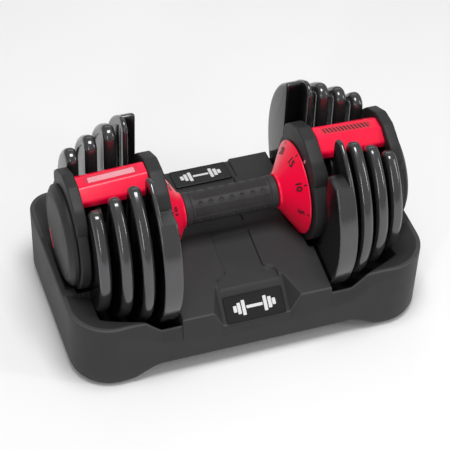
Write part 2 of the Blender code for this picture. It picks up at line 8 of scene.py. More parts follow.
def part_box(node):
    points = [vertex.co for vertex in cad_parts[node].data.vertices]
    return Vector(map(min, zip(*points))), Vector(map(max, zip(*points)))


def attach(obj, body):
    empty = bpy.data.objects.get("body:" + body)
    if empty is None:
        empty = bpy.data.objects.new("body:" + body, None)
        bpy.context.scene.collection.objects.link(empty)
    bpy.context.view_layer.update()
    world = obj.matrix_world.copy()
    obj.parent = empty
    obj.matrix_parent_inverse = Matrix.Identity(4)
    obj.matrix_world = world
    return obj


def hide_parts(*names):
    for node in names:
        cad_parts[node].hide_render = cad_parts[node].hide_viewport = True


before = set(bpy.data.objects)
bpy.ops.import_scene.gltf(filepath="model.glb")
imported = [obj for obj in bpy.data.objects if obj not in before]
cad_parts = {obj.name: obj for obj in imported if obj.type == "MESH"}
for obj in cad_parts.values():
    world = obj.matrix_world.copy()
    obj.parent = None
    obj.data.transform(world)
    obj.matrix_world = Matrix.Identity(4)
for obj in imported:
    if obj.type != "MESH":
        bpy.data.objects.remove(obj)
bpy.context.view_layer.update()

# Lengths below are in millimetres. A shape is drawn about the handle's axis: x along the handle,
# y to the rear, z up from the axis. The right end is drawn, and the left end is its mirror image.
MM = 0.001
SIDES = ((1, "right"), (-1, "left"))


def node_box(node):
    """Lowest and highest corner of a CAD node in millimetres, as arrays."""
    low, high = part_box(node)
    return np.array(low) / MM, np.array(high) / MM


def span(node):
    """Inboard and outboard x of a node of the right end."""
    low, high = node_box(node)
    return low[0], high[0]


GRIP_LOW, GRIP_HIGH = node_box("grip_sleeve")
AXIS = (GRIP_LOW[2] + GRIP_HIGH[2]) / 2
GRIP_R = (GRIP_HIGH[2] - GRIP_LOW[2]) / 2
GRIP_HALF = GRIP_HIGH[0]
TRAY_LOW, TRAY_HIGH = node_box("tray_shell")
TRAY_HX, TRAY_HY = TRAY_HIGH[0], TRAY_HIGH[1]
TRAY_BASE = TRAY_LOW[2]


# ---------------------------------------------------------------- shader maths

class Term:
    """A socket of a shader. Sums, products and comparisons on it add Math nodes."""

    def __init__(self, finish, socket):
        self.finish = finish
        self.socket = socket

    def maths(self, operation, *values):
        return self.finish.node("ShaderNodeMath", {"operation": operation}, dict(enumerate(values)))

    def __add__(self, other):
        return self.maths("ADD", self, other)

    def __sub__(self, other):
        return self.maths("SUBTRACT", self, other)

    def __rsub__(self, other):
        return self.maths("SUBTRACT", other, self)

    def __mul__(self, other):
        return self.maths("MULTIPLY", self, other)

    def __truediv__(self, other):
        return self.maths("DIVIDE", self, other)

    def __gt__(self, other):
        return self.maths("GREATER_THAN", self, other)

    def __lt__(self, other):
        return self.maths("LESS_THAN", self, other)

    def __abs__(self):
        return self.maths("ABSOLUTE", self)

    __radd__ = __add__
    __rmul__ = __mul__

    def sine(self):
        return self.maths("SINE", self)

    def part(self):
        """What is left over a whole number."""
        return self.maths("FRACT", self)


class Finish:
    """One material: its Principled shader and the nodes that feed it."""

    def __init__(self, name, colour, rough, metallic=0.0, **fixed):
        self.material = bpy.data.materials.new(name)
        self.material.use_nodes = True
        self.tree = self.material.node_tree
        self.shader = self.tree.nodes["Principled BSDF"]
        self.shader.inputs["Base Color"].default_value = (*colour, 1.0)
        self.shader.inputs["Roughness"].default_value = rough
        self.shader.inputs["Metallic"].default_value = metallic
        for socket, value in fixed.items():
            self.shader.inputs[socket.replace("_", " ")].default_value = value
        self.place = self.node("ShaderNodeTexCoord", {}, {}, "Object")

    def node(self, kind, settings, values, output=0):
        """Adds a node: its settings first, then the value or link of each input. Gives one output."""
        made = self.tree.nodes.new(kind)
        for key, value in settings.items():
            setattr(made, key, value)
        for key, value in values.items():
            if isinstance(value, Term):
                self.tree.links.new(value.socket, made.inputs[key])
            else:
                made.inputs[key].default_value = value
        return Term(self, made.outputs[output])

    def feed(self, socket, term):
        self.tree.links.new(term.socket, self.shader.inputs[socket])

    def axis(self, letter):
        """One coordinate of the surface, in metres."""
        return self.node("ShaderNodeSeparateXYZ", {}, {0: self.place}, letter)

    def mark(self, attribute):
        """A number stored on the mesh's points."""
        return self.node("ShaderNodeAttribute", {"attribute_name": attribute}, {}, "Fac")

    def noise(self, scale, detail=2.0, stretch=(1, 1, 1)):
        """Cloudy value about 0.5, with features of about 1/scale metres."""
        place = self.node("ShaderNodeVectorMath", {"operation": "MULTIPLY"}, {0: self.place, 1: stretch})
        return self.node("ShaderNodeTexNoise", {}, {"Vector": place, "Scale": scale, "Detail": detail})

    def grain(self, scale):
        """Distance to the nearest of scattered points, for moulded grain."""
        return self.node("ShaderNodeTexVoronoi", {}, {"Vector": self.place, "Scale": scale})

    def blend(self, share, first, second):
        """Colour between two colours."""
        colours = [c if isinstance(c, Term) else (*c, 1.0) for c in (first, second)]
        return self.node("ShaderNodeMix", {"data_type": "RGBA"}, {0: share, 6: colours[0], 7: colours[1]}, 2)

    def bump(self, height, depth, strength=1.0):
        """Relief of a height from 0 to 1, with that depth in metres."""
        values = {"Height": height, "Distance": depth, "Strength": strength}
        self.feed("Normal", self.node("ShaderNodeBump", {}, values))


def moulded(name, colour, rough, edge_highlight=None):
    """Spark-eroded plastic: fine grain, slow changes of shade and gloss, and painted highlight: paler along
    the marked edges.
    """
    made = Finish(name, colour, rough, Specular_IOR_Level=0.22)
    cloud = made.noise(14, 3)
    speck = made.noise(900, 2)
    dark, pale = [tuple(c * k for c in colour) for k in (0.86, 1.14)]
    shade = made.blend(cloud * 0.7 + speck * 0.3, dark, pale)
    if edge_highlight:
        # Painted highlight: the marked edges are blended unevenly towards a paler colour.
        shade = made.blend(made.mark("edge") * (0.55 + 0.45 * made.noise(60, 3)), shade, edge_highlight)
    made.feed("Base Color", shade)
    made.feed("Roughness", rough - 0.08 + 0.16 * made.noise(35, 4))
    made.bump(made.grain(1500) * 0.6 + made.noise(2600, 2) * 0.4, 0.00006, 0.55)
    return made.material


def red_plastic():
    """Crimson gloss plastic with a faint ripple, fine handling haze and a little shade variation."""
    made = Finish("red_plastic", (0.95, 0.002, 0.045), 0.28, Specular_IOR_Level=0.4)
    made.feed("Base Color", made.blend(made.noise(22, 3), (0.93, 0.002, 0.042), (1.0, 0.003, 0.054)))
    made.feed("Roughness", 0.24 + 0.14 * made.noise(60, 4))
    made.bump(made.noise(260, 2), 0.00008, 0.35)
    return made.material


def plate_finish():
    """Painted plate: black gloss faces, and dark ground rims with faint lengthwise grinding lines."""
    made = Finish("plate_steel", (0.01, 0.01, 0.011), 0.2, Specular_IOR_Level=0.35)
    rim = made.mark("rim")
    streak = made.noise(260, 3, (9, 1, 1))
    ground = made.blend(streak, (0.085, 0.085, 0.088), (0.13, 0.13, 0.134))
    black = made.blend(made.noise(120, 3), (0.004, 0.004, 0.0045), (0.009, 0.009, 0.0095))
    made.feed("Base Color", made.blend(rim, black, ground))
    made.feed("Metallic", 0.75 * rim)
    made.feed("Roughness", 0.15 + 0.06 * made.noise(90, 3) - 0.02 * rim)
    made.bump(rim * streak * 0.5 + (1 - rim) * made.noise(700, 2), 0.000012, 0.5)
    return made.material


KNURLS_ROUND, KNURLS_ALONG = 72.0, 4000.0  # pitch of the knurl, per radian of turn and per metre of length


def rubber():
    """Matte rubber: fine skin all over, and a cross-cut knurl where the surface is marked for it."""
    made = Finish("grip_rubber", (0.03, 0.03, 0.031), 0.6, Specular_IOR_Level=0.35)
    height = made.axis("Z") - AXIS * MM
    turn = made.node("ShaderNodeMath", {"operation": "ARCTAN2"}, {0: made.axis("Y"), 1: height})
    around = turn * KNURLS_ROUND
    along = made.axis("X") * KNURLS_ALONG
    knurl = abs((around + along).sine() * (around - along).sine())
    marked = made.mark("knurl")
    made.feed("Base Color", made.blend(made.noise(70, 3), (0.024, 0.024, 0.025), (0.04, 0.04, 0.041)))
    made.feed("Roughness", 0.5 + 0.2 * made.noise(300, 3))
    made.bump(marked * knurl + 0.15 * made.noise(1800, 2), 0.00035, 0.8)
    return made.material


def turned_metal(name, colour, rough):
    """Lathe-turned metal: rings about the handle's direction and faint staining."""
    made = Finish(name, colour, rough, 1.0)
    rings = made.noise(600, 3, (6, 0.4, 0.4))
    made.feed("Base Color", made.blend(made.noise(80, 3), tuple(c * 0.85 for c in colour), colour))
    made.feed("Roughness", rough - 0.08 + 0.2 * rings)
    made.bump(rings, 0.00002, 0.5)
    return made.material


def ink(name, colour):
    """Printed paint, slightly uneven."""
    made = Finish(name, colour, 0.45)
    made.feed("Base Color", made.blend(made.noise(500, 3), colour, tuple(c * 0.8 + 0.01 for c in colour)))
    made.feed("Roughness", 0.38 + 0.14 * made.noise(700, 2))
    made.bump(made.noise(2000, 2), 0.00002, 0.4)
    return made.material


def label_finish(name, field, bars, centre, half_length, pitch, lean):
    """Printed label: slanting bars of one colour on a field of another, along x about a centre.
    All lengths are in metres, and the bars keep clear of the label's edge."""
    made = Finish(name, field, 0.32)
    across = made.axis("Y")
    x = made.axis("X") - centre
    stripe = ((x + across * lean) / pitch).part() > 0.42
    inside = (abs(x) < half_length) * (abs(across) < 0.0038)
    ground = made.blend(made.noise(40, 3), field, tuple(c * 0.85 for c in field))
    made.feed("Base Color", made.blend(stripe * inside, ground, bars))
    made.feed("Roughness", 0.28 + 0.12 * made.noise(200, 3))
    made.bump(made.noise(900, 2), 0.00003, 0.4)
    return made.material


def floor_finish():
    """Matte off-white, a little uneven."""
    made = Finish("studio_floor", (0.92, 0.92, 0.92), 0.8)
    made.feed("Base Color", made.blend(made.noise(3, 3), (0.9, 0.9, 0.9), (0.94, 0.94, 0.94)))
    return made.material


# The tray's paler second colour is a painted highlight along its rounded lip, the foot's turn and the thin
# rims.
TRAY_PLASTIC = moulded("tray_plastic", (0.034, 0.034, 0.035), 0.55, edge_highlight=(0.085, 0.085, 0.087))
HOUSING_PLASTIC = moulded("housing_plastic", (0.026, 0.026, 0.027), 0.5)
SELECTOR_NYLON = moulded("selector_nylon", (0.02, 0.02, 0.021), 0.5)
FOOT_RUBBER = moulded("foot_rubber", (0.018, 0.018, 0.018), 0.8)
BADGE_BLACK = moulded("badge_black", (0.016, 0.016, 0.017), 0.35)
RED = red_plastic()
PLATE = plate_finish()
RUBBER = rubber()
SHAFT_STEEL = turned_metal("shaft_steel", (0.5, 0.5, 0.52), 0.3)
BRASS = turned_metal("bush_brass", (0.7, 0.5, 0.2), 0.35)
BLACK_INK = ink("black_ink", (0.01, 0.01, 0.01))
WHITE_INK = ink("white_ink", (0.8, 0.8, 0.8))
PINK_MARK = ink("pink_mark", (0.95, 0.3, 0.42))


# ---------------------------------------------------------------- outlines and surfaces

def arc(radius, start, stop, count, centre=(0.0, 0.0)):
    """Points (radius cos a, radius sin a) about a centre, for a from start to stop in degrees."""
    a = np.radians(np.linspace(start, stop, count))
    return np.stack([centre[0] + radius * np.cos(a), centre[1] + radius * np.sin(a)], 1)


def without_repeats(points):
    step = np.linalg.norm(points - np.roll(points, 1, 0), axis=1)
    return points[step > 1e-3]


def softened(points, reach, steps=6, closed=True):
    """Each corner p becomes the curve (1-t)^2 a + 2t(1-t) p + t^2 b, where a and b lie `reach`
    before and after it, and never past the middle of a side."""
    p = np.asarray(points, float)
    before, after = np.roll(p, 1, 0) - p, np.roll(p, -1, 0) - p
    long_before = np.linalg.norm(before, axis=1)
    long_after = np.linalg.norm(after, axis=1)
    reach = np.minimum(np.broadcast_to(reach, len(p)), 0.49 * np.minimum(long_before, long_after))
    a = p + before * (reach / long_before)[:, None]
    b = p + after * (reach / long_after)[:, None]
    t = np.linspace(0, 1, steps)[None, :, None]
    curves = (1 - t) ** 2 * a[:, None] + 2 * t * (1 - t) * p[:, None] + t ** 2 * b[:, None]
    if closed:
        return without_repeats(curves.reshape(-1, p.shape[1]))
    return np.concatenate([p[:1], curves[1:-1].reshape(-1, p.shape[1]), p[-1:]])


def grown(outline, distance):
    """A closed outline moved outwards along the mitre of each point's two sides."""
    side = np.roll(outline, -1, 0) - outline
    area = np.sum(outline[:, 0] * np.roll(outline[:, 1], -1) - outline[:, 1] * np.roll(outline[:, 0], -1))
    normal = np.stack([side[:, 1], -side[:, 0]], 1) * np.sign(area)
    normal /= np.linalg.norm(normal, axis=1)[:, None]
    mitre = normal + np.roll(normal, 1, 0)
    mitre *= 2 / np.maximum(np.sum(mitre ** 2, 1), 0.6)[:, None]
    return outline + distance * mitre


def slab(outline, profile):
    """Carries an outline (y, z) through a profile (x, inset): one ring for each profile point."""
    rings = [np.insert(grown(outline, -inset), 0, x, axis=1) for x, inset in profile]
    return np.array(rings)


def lathe(profile, count=96, centre=(0.0, 0.0)):
    """Rings (x, r sin a, r cos a) for a profile of (x, r), a going once round."""
    a = np.linspace(0, math.tau, count, endpoint=False)
    x, r = np.asarray(profile, float).T
    return np.stack([np.broadcast_to(x[:, None], (len(x), count)),
                     centre[0] + r[:, None] * np.sin(a), centre[1] + r[:, None] * np.cos(a)], 2)


def upright(rings, x, y):
    """Turns rings drawn along x about the handle's axis so that they stand along z at a place."""
    return np.stack([x - rings[..., 2], y + rings[..., 1], rings[..., 0]], -1)


def ring_faces(rings, count, start=0, loop=False):
    """Quads between neighbouring rings of `count` points, closed round each ring."""
    k = np.arange(rings if loop else rings - 1)[:, None]
    i = np.arange(count)[None]
    j = (i + 1) % count
    after = (k + 1) % rings
    quads = np.stack([k * count + i, k * count + j, after * count + j, after * count + i], -1)
    return (quads + start).reshape(-1, 4)


class Shell:
    """Collects closed skins of points and faces, which become one piece."""

    def __init__(self):
        self.points = []
        self.faces = []
        self.marks = []
        self.count = 0

    def add(self, rings, side=1, loop=False, marks=None):
        """A skin through rings. It is turned the right way round by the sign of its volume, and
        closed by flat ends, or by joining its last ring to its first."""
        rings = np.array(rings, float)
        rings[..., 0] *= side
        total, count = rings.shape[:2]
        faces = ring_faces(total, count, 0, loop).tolist()
        if not loop:
            faces += [list(range(count))[::-1], list(range((total - 1) * count, total * count))]
        marks = np.zeros((total, count)) if marks is None else np.broadcast_to(marks, (total, count))
        return self.add_faces(rings.reshape(-1, 3), faces, marks.reshape(-1))

    def add_faces(self, points, faces, marks):
        flow = sum_of_volumes(points, faces)
        faces = [f if flow > 0 else f[::-1] for f in faces]
        self.faces += [[v + self.count for v in f] for f in faces]
        self.points.append(points)
        self.marks.append(marks)
        self.count += len(points)
        return self

    def piece(self, name, finish, body, slot, *replaced, mark=None, sharp=32, raised=True):
        """The finished piece: in the frame's place, shaded smooth, riding on its body."""
        points = np.concatenate(self.points)
        if raised:
            points = points + (0, 0, AXIS)
        mesh = bpy.data.meshes.new(name)
        mesh.from_pydata((points * MM).tolist(), [], self.faces)
        mesh.shade_smooth()
        mesh.set_sharp_from_angle(angle=math.radians(sharp))
        if mark:
            layer = mesh.attributes.new(mark, "FLOAT", "POINT")
            layer.data.foreach_set("value", np.concatenate(self.marks).astype(np.float32))
        mesh.materials.append(finish)
        item = bpy.data.objects.new(name, mesh)
        bpy.context.scene.collection.objects.link(item)
        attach(item, body)
        if replaced:
            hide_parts(*replaced)
        return item


def sum_of_volumes(points, faces):
    """Six times the volume inside a closed skin, negative if its faces look inwards."""
    whole = 0.0
    quads = np.array([f for f in faces if len(f) == 4])
    centre = points.mean(0)
    for fan in ([quads] if len(quads) else []) + [np.array([f]) for f in faces if len(f) != 4]:
        for k in range(1, fan.shape[1] - 1):
            a, b, c = (points[fan[:, i]] - centre for i in (0, k, k + 1))
            whole += np.sum(a * np.cross(b, c))
    return whole


# ---------------------------------------------------------------- tray

RIDGE = TRAY_HIGH[2]             # height of the saddle's ridge
FRONT_SLOPE, REAR_SLOPE = 0.15, 0.045
RIM, REAR_RIM = 86.0, 90.0
SADDLE_X = 82.5
RISE_X = (82.5, 86, 95, 105, 115, 128, 142)   # the rim beside the wells, x and z
RISE_Z = (68.5, 71.5, 76, 79.3, 82, 84.4, RIM)
REAR_RISE_Z = (86, 86.3, 87, 88.1, 89, 89.6, REAR_RIM)
FRONT_CORNER, REAR_CORNER = 46.0, 26.0
LIP = 2.2                        # rounding of the tray's upper edge
WALL = 3.0
LEAN, LEAN_FOOT = 4.5, 45.0      # the upper walls of the front and rear lean in by this, above this height
NECK_HALF, NECK_DEEP = 21.0, 2.6
# Each badge ramp: side of the tray, upper and lower edge as (y, z), and where the badge's middle lies.
RAMPS = {"front": (-1, (70.0, 81.0), (116.0, 40.0), 30.0), "rear": (1, (76.0, 85.2), (118.0, 80.9), 16.2)}
RAMP_HALF, RAMP_FLANK = 37.0, 2.05
SCOOP_X, SCOOP_Y, SCOOP_EDGE, SCOOP_FALL = 110.0, 44.5, 4.0, 0.444
REAR_Y = 95.0                    # the rim has its rear height from here on
CLEAR, ABOVE_ALL = 60.0, 400.0   # heights that lift a surface clear of the tray where it doesn't cut
LEAN_X0, LEAN_X1 = 96.0, 172.0   # the lean fades out between these
FOOT_TURN = 1.5                  # rounding under the foot of the wall
ARCH_Z, ARCH_X0, ARCH_X1 = 20.0, 104.0, 148.0
WELL_X = (50, 75.8, 75.9, 82.5, 82.6, 105, 164.9, 165.0, 179, 180, 189.5, 189.6)
WELL_R = (20, 54, 66, 66, 120, 120, 95.5, 63, 63, 57, 57, 0)


def least(a, b, soft):
    """The smaller of two heights, with a rounded edge of about `soft` where they cross."""
    h = np.clip(0.5 + 0.5 * (b - a) / soft, 0, 1)
    return b * (1 - h) + a * h - soft * h * (1 - h)


def smooth(value, low, high):
    """0 below low, 1 above high, 3t^2 - 2t^3 between them."""
    t = np.clip((value - low) / (high - low), 0, 1)
    return t * t * (3 - 2 * t)


def rounding(depth_inside, radius):
    """How far an edge of that radius falls, at each distance in from the edge."""
    gone = np.clip(radius - depth_inside, 0, radius)
    return radius - np.sqrt(radius ** 2 - gone ** 2)


def within(x, y):
    """Distance in from the tray's outline, a rectangle with round corners, wider at the front."""
    corner = np.where(y < 0, FRONT_CORNER, REAR_CORNER)
    qx, qy = np.abs(x) - (TRAY_HX - corner), np.abs(y) - (TRAY_HY - corner)
    past = np.hypot(np.maximum(qx, 0), np.maximum(qy, 0))
    return corner - past - np.minimum(np.maximum(qx, qy), 0)


def tray_height(x, y):
    """Top of the tray: a ridged saddle with rims that rise beside it, less the corner scoops that fall
    from a thin rim, the two wells turned about the handle's axis, the neck channel and the badge ramps."""
    ax, ay = np.abs(x), np.abs(y)
    saddle = RIDGE - np.where(y < 0, FRONT_SLOPE, REAR_SLOPE) * ay
    behind = np.clip((y - SCOOP_Y) / (REAR_Y - SCOOP_Y), 0, 1)
    rims = np.interp(ax, RISE_X, RISE_Z) * (1 - behind) + np.interp(ax, RISE_X, REAR_RISE_Z) * behind
    height = np.where(ax < SADDLE_X, saddle, rims)
    height = height - rounding(SADDLE_X - np.where(ax < SADDLE_X, ax, 0), 1.4)
    neck = NECK_HALF + 12 * smooth(ay, 55, 66)
    height = height - NECK_DEEP * (1 - smooth(ax, neck - 0.45, neck + 0.45)) * smooth(ay, 6, 8)
    scoop = np.where(y < 0, RIM, REAR_RIM) - SCOOP_FALL * (within(x, y) - SCOOP_EDGE)
    scoop = scoop + CLEAR * (1 - smooth(ay, SCOOP_Y - 1.5, SCOOP_Y))
    scoop = scoop + CLEAR * (1 - smooth(ax, SCOOP_X - 12, SCOOP_X + 6))
    height = least(height, scoop, 1.2)
    radius = np.interp(ax, WELL_X, WELL_R)
    room = np.maximum(radius ** 2 - ay ** 2, 0)
    well = np.where(room > 0, AXIS - np.sqrt(room), ABOVE_ALL)
    height = least(height, well, 1.6)
    for sign, top, low, _ in RAMPS.values():
        floor = top[1] - (top[1] - low[1]) / (low[0] - top[0]) * (sign * y - top[0])
        floor = floor + np.maximum(ax - RAMP_HALF, 0) * RAMP_FLANK
        begins = top[0] - 10 if sign < 0 else top[0]
        height = least(height, np.where(sign * y > begins, floor, ABOVE_ALL), 1.4 if sign < 0 else 0.6)
    return height


def spaced(*stops):
    """Lines at uneven spacing: (place, spacing up to the next place), and the last place."""
    parts = [np.arange(a, b, (b - a) / max(1, round((b - a) / step)))
             for (a, step), (b, _) in zip(stops, stops[1:])]
    return np.concatenate(parts + [[stops[-1][0]]])


def tray_lines():
    """Lines of x close together at the wells' ends, and shares of y close at the front and rear."""
    edge = 0.06
    half = spaced((0, 2), (19.5, 0.35), (22.5, 2), (31, 0.5), (38.5, 1.3), (50, 1.5), (75.8 - edge, 2 * edge),
                  (75.8 + edge, 1.4), (80.6, 0.2), (SADDLE_X - 0.01, 0.12), (82.62, 0.8), (90, 1.4), (104, 1),
                  (110, 1.8), (164.9, 0.1), (165.0, 1.5), (179, 0.25), (180, 1.2), (189.4, 0.1), (189.7, 0.4),
                  (TRAY_HX - LIP, 0))
    x = np.concatenate([-half[:0:-1], half])
    reach = TRAY_HY - LIP
    share = spaced((0, 2.6), (41, 0.4), (46.5, 1.3), (68, 0.5), (78, 1.2), (94, 0.45), (reach, 0)) / reach
    return x, np.concatenate([-share[:0:-1], share])


def drawn_in(z):
    """How far the tray's wall has moved in at a height."""
    return np.interp(z, (TRAY_BASE, TRAY_BASE + 4, 60, RIM), (3, 1, 0.4, 0))


def leaning(x):
    """How far the top of the front wall leans in at x."""
    return LEAN * (1 - smooth(np.abs(x), LEAN_X0, LEAN_X1))


def tray_plan():
    """Grid over the tray's plan: y is a share of the reach of the rounded outline at each x."""
    x, share = tray_lines()
    hx, hy = TRAY_HX - LIP, TRAY_HY - LIP
    reaches = []
    for corner, lean in ((FRONT_CORNER - LIP, leaning(x)), (REAR_CORNER - LIP, 0)):
        past = np.clip(np.abs(x) - (hx - corner), 0, corner)
        reaches.append(hy - lean - corner + np.sqrt(corner ** 2 - past ** 2))
    gx = np.repeat(x[:, None], len(share), 1)
    gy = np.where(share[None] < 0, reaches[0][:, None], reaches[1][:, None]) * share[None]
    return gx, gy


def tray_walls(edge):
    """Rings that go from the sheet's edge over the lip, down the wall and in under its foot, and how much
    painted highlight each one gets. Each ring is the edge moved outwards, at its own heights."""
    hx, hy = TRAY_HX - LIP, TRAY_HY - LIP
    x, y, z_top = edge.T
    corner = np.where(y < 0, FRONT_CORNER - LIP, REAR_CORNER - LIP)
    fallen = leaning(x) * (y < -(hy - corner - LEAN + 0.1))
    inside = np.stack([hx - corner, hy - fallen - corner], 1)
    away = edge[:, :2] - np.clip(edge[:, :2], -inside, inside)
    flat = np.linalg.norm(away, axis=1)[:, None]
    outward = np.where(flat > 1e-6, away / np.maximum(flat, 1e-6), 0)
    crease = LEAN_FOOT + (z_top - LIP - 6 - LEAN_FOOT) * smooth(np.abs(x), 40, LEAN_X1)
    arched = (1 - smooth(np.abs(x), ARCH_X0, ARCH_X1)) * (np.abs(y) > hy - 20)
    foot = TRAY_BASE + (ARCH_Z - TRAY_BASE) * arched
    rings = []
    for turn in np.radians(np.linspace(12, 90, 7)):
        z = z_top - LIP * (1 - math.cos(turn))
        # The lip's rounding carries painted highlight, strongest halfway round the curve.
        rings.append(((LIP - drawn_in(z)) * math.sin(turn), z, math.sin(2 * turn) ** 2))
    for part in (0.2, 0.5, 0.8, 0.95, 1.05):
        z = z_top - LIP + (crease - z_top + LIP) * part
        rings.append((LIP - drawn_in(z) + fallen * min(part, 1), z, 0))
    for part in (0.25, 0.5, 0.75, 0.93):
        z = crease * (1 - part) + (foot + FOOT_TURN) * part
        rings.append((LIP - drawn_in(z) + fallen, z, 0))
    for turn in np.radians(np.linspace(0, 90, 5)):
        out = LIP - drawn_in(foot) + fallen - FOOT_TURN * (1 - math.cos(turn))
        # The turn under the foot of the wall carries a little painted highlight.
        rings.append((out, foot + FOOT_TURN * (1 - math.sin(turn)), 0.3))
    rings.append((LIP - drawn_in(foot) + fallen - WALL, foot, 0))
    walls = []
    for out, z, _ in rings:
        walls.append(np.column_stack([edge[:, :2] + outward * np.reshape(out, (-1, 1)), z]))
    return walls, [edge_highlight for _, _, edge_highlight in rings]


def tray():
    """A sheet over the tray's plan, z = tray_height(x, y), rolled over a rounded lip into the outer
    wall, turned in under the foot of the wall and closed by the underside, a wall's thickness below."""
    gx, gy = tray_plan()
    top = np.stack([gx, gy, tray_height(gx, gy)], 2)
    nx, ny = gx.shape
    index = np.arange(nx * ny).reshape(nx, ny)
    rim = np.concatenate([index[:-1, 0], index[-1, :-1], index[:0:-1, -1], index[0, :0:-1]])
    walls, marks = tray_walls(top.reshape(-1, 3)[rim])
    nearby = ((0, 0), (WALL, 0), (-WALL, 0), (0, WALL), (0, -WALL))
    under = np.minimum.reduce([tray_height(gx + a, gy + b) for a, b in nearby]) - WALL
    shrink = 1 - WALL / (np.array([TRAY_HX, TRAY_HY]) - LIP)
    under = np.stack([gx * shrink[0], gy * shrink[1], under], 2)
    points = np.concatenate([top.reshape(-1, 3), *walls, under.reshape(-1, 3)])
    first = nx * ny
    last = first + len(walls) * len(rim)
    loops = [rim] + [first + k * len(rim) + np.arange(len(rim)) for k in range(len(walls))] + [last + rim]
    skin = [np.stack([a, np.roll(a, -1), np.roll(b, -1), b], 1) for a, b in zip(loops, loops[1:])]
    cells = np.stack([index[:-1, :-1], index[1:, :-1], index[1:, 1:], index[:-1, 1:]], -1).reshape(-1, 4)
    faces = np.concatenate([cells[:, ::-1], *skin, cells + last]).tolist()
    # Painted highlight on the thin rims beside the corner scoops, and from the wall rings on the lip and the
    # foot's turn.
    thin = smooth(np.abs(gx), 96, 112) * smooth(np.abs(gy), 44, 46) * (1 - smooth(within(gx, gy), 4.2, 5.4))
    edge_highlight = np.concatenate([0.7 * thin.reshape(-1), np.repeat(marks, len(rim)), np.zeros(nx * ny)])
    shell = Shell().add_faces(points, faces, edge_highlight)
    shell.piece("tray", TRAY_PLASTIC, "tray", "tray_plastic", "tray_shell",
                mark="edge", sharp=38, raised=False)


# ---------------------------------------------------------------- plates

PLATES = 4
SLOT_HALF, TIP_R = 37.0, 12.0
PLATE_T, EDGE_R = 13.0, 5.4      # thickness of the outer three plates and the rounding of their edges
WEB_T, WEB_EDGE = 4.8, 2.2       # the same of the innermost plate's thin layer
THICK_EDGE = 2.6                 # rounding of its thick part
BAND, RECESS = 9.0, 1.8          # width of the raised rim and depth of the recessed face
POCKET_R = 62.0
LEDGE_Z = 70.0
FIRST_FRONT = node_box("plate_right_1")[0][0]


def horseshoe(radius):
    """Disc open at the top: a big arc, two round tips and a U slot, as one closed outline."""
    y_tip = SLOT_HALF + TIP_R
    z_tip = math.sqrt((radius - TIP_R) ** 2 - y_tip ** 2)
    lean = math.degrees(math.atan2(z_tip, y_tip))
    big = arc(radius, lean, -180 - lean, 180)
    rear = arc(TIP_R, 180 - lean, 0, 24, (-y_tip, z_tip))[1:]
    line = np.linspace(0, 1, 12)[1:-1, None]
    down = rear[-1] + line * (np.array([-SLOT_HALF, 0]) - rear[-1])
    slot = arc(SLOT_HALF, 180, 360, 50)
    front = arc(TIP_R, 180, lean, 24, (y_tip, z_tip))[:-1]
    rise = slot[-1] + line * (front[0] - slot[-1])
    return np.concatenate([big, rear, down, slot, rise, front])


def rim_profile(x0, x1, edge, recessed_in, recessed_out):
    """Across a plate: recessed face, raised band, rounded edge, and the same again on the far side."""
    quarter = np.radians(np.linspace(0, 90, 8))
    near = [(x0 + edge * (1 - math.sin(a)), edge * (1 - math.cos(a))) for a in quarter[::-1]]
    far = [(x1 - edge * (1 - math.sin(a)), edge * (1 - math.cos(a))) for a in quarter]
    step = [(RECESS, BAND + 1.6), (RECESS, BAND + 1.3), (RECESS * 0.6, BAND + 0.9), (0.2, BAND + 0.35),
            (0, BAND)]
    inner = [(x0 + deep, inset) for deep, inset in step] if recessed_in else []
    outer = [(x1 - deep, inset) for deep, inset in step[::-1]] if recessed_out else []
    return inner + near + far + outer


def crescent(radius):
    """Thick outer part of the innermost plate: outside the housing's pocket, from the ledge in front
    round below to a wedge at the rear."""
    at_ledge = math.sqrt(radius ** 2 - LEDGE_Z ** 2)
    top = math.sqrt(radius ** 2 - POCKET_R ** 2)
    start, stop = math.atan2(LEDGE_Z, -at_ledge), math.tau + math.atan2(top, POCKET_R)
    outer = arc(radius, math.degrees(start), math.degrees(stop), 180)
    wedge = softened([outer[-9], (POCKET_R, top), (POCKET_R, 0)], (0, 11, 0), 12, False)
    inner = arc(POCKET_R, 0, -180, 80)
    ledge = softened([(-POCKET_R, 0), (-POCKET_R, LEDGE_Z), (-at_ledge, LEDGE_Z)], (0, 6, 0), 8, False)
    return without_repeats(np.concatenate([outer[:-9], wedge, inner[1:], ledge[1:-1]]))


def on_edge(profile, edge):
    """1 on the rounded edge and the rim between its two curves, 0 on the faces."""
    return np.array([[1.0 if inset < 0.8 * edge else 0.0] for _, inset in profile])


def plates():
    """Each plate is its outline carried through its thickness; the innermost also has its thick part,
    whose flat inboard face is painted and whose outer edge is ground."""
    for side, word in SIDES:
        for number in range(1, PLATES + 1):
            node = f"plate_{word}_{number}"
            x1, radius = node_box(f"plate_right_{number}")[1][:2]
            shell = Shell()
            first = number == 1
            thickness, edge = (WEB_T, WEB_EDGE) if first else (PLATE_T, EDGE_R)
            profile = rim_profile(x1 - thickness, x1, edge, not first, number < PLATES)
            shell.add(slab(horseshoe(radius), profile), side, marks=on_edge(profile, edge))
            if first:
                thick = rim_profile(FIRST_FRONT, x1 - 1.2, THICK_EDGE, False, False)
                rings = slab(crescent(radius - 0.02), thick)
                ground = on_edge(thick, THICK_EDGE) * (np.linalg.norm(rings[..., 1:], axis=2) > radius - 4)
                shell.add(rings, side, marks=ground)
            shell.piece(f"{node}_body", PLATE, node, "plate_steel", node, mark="rim", sharp=30)


# ---------------------------------------------------------------- handle

DIMPLE_ROWS, DIMPLES, DIMPLE_PITCH = 6, 7, 11.6
ROW_TURN = 4.0                   # the front row of dimples looks this far below level, in degrees


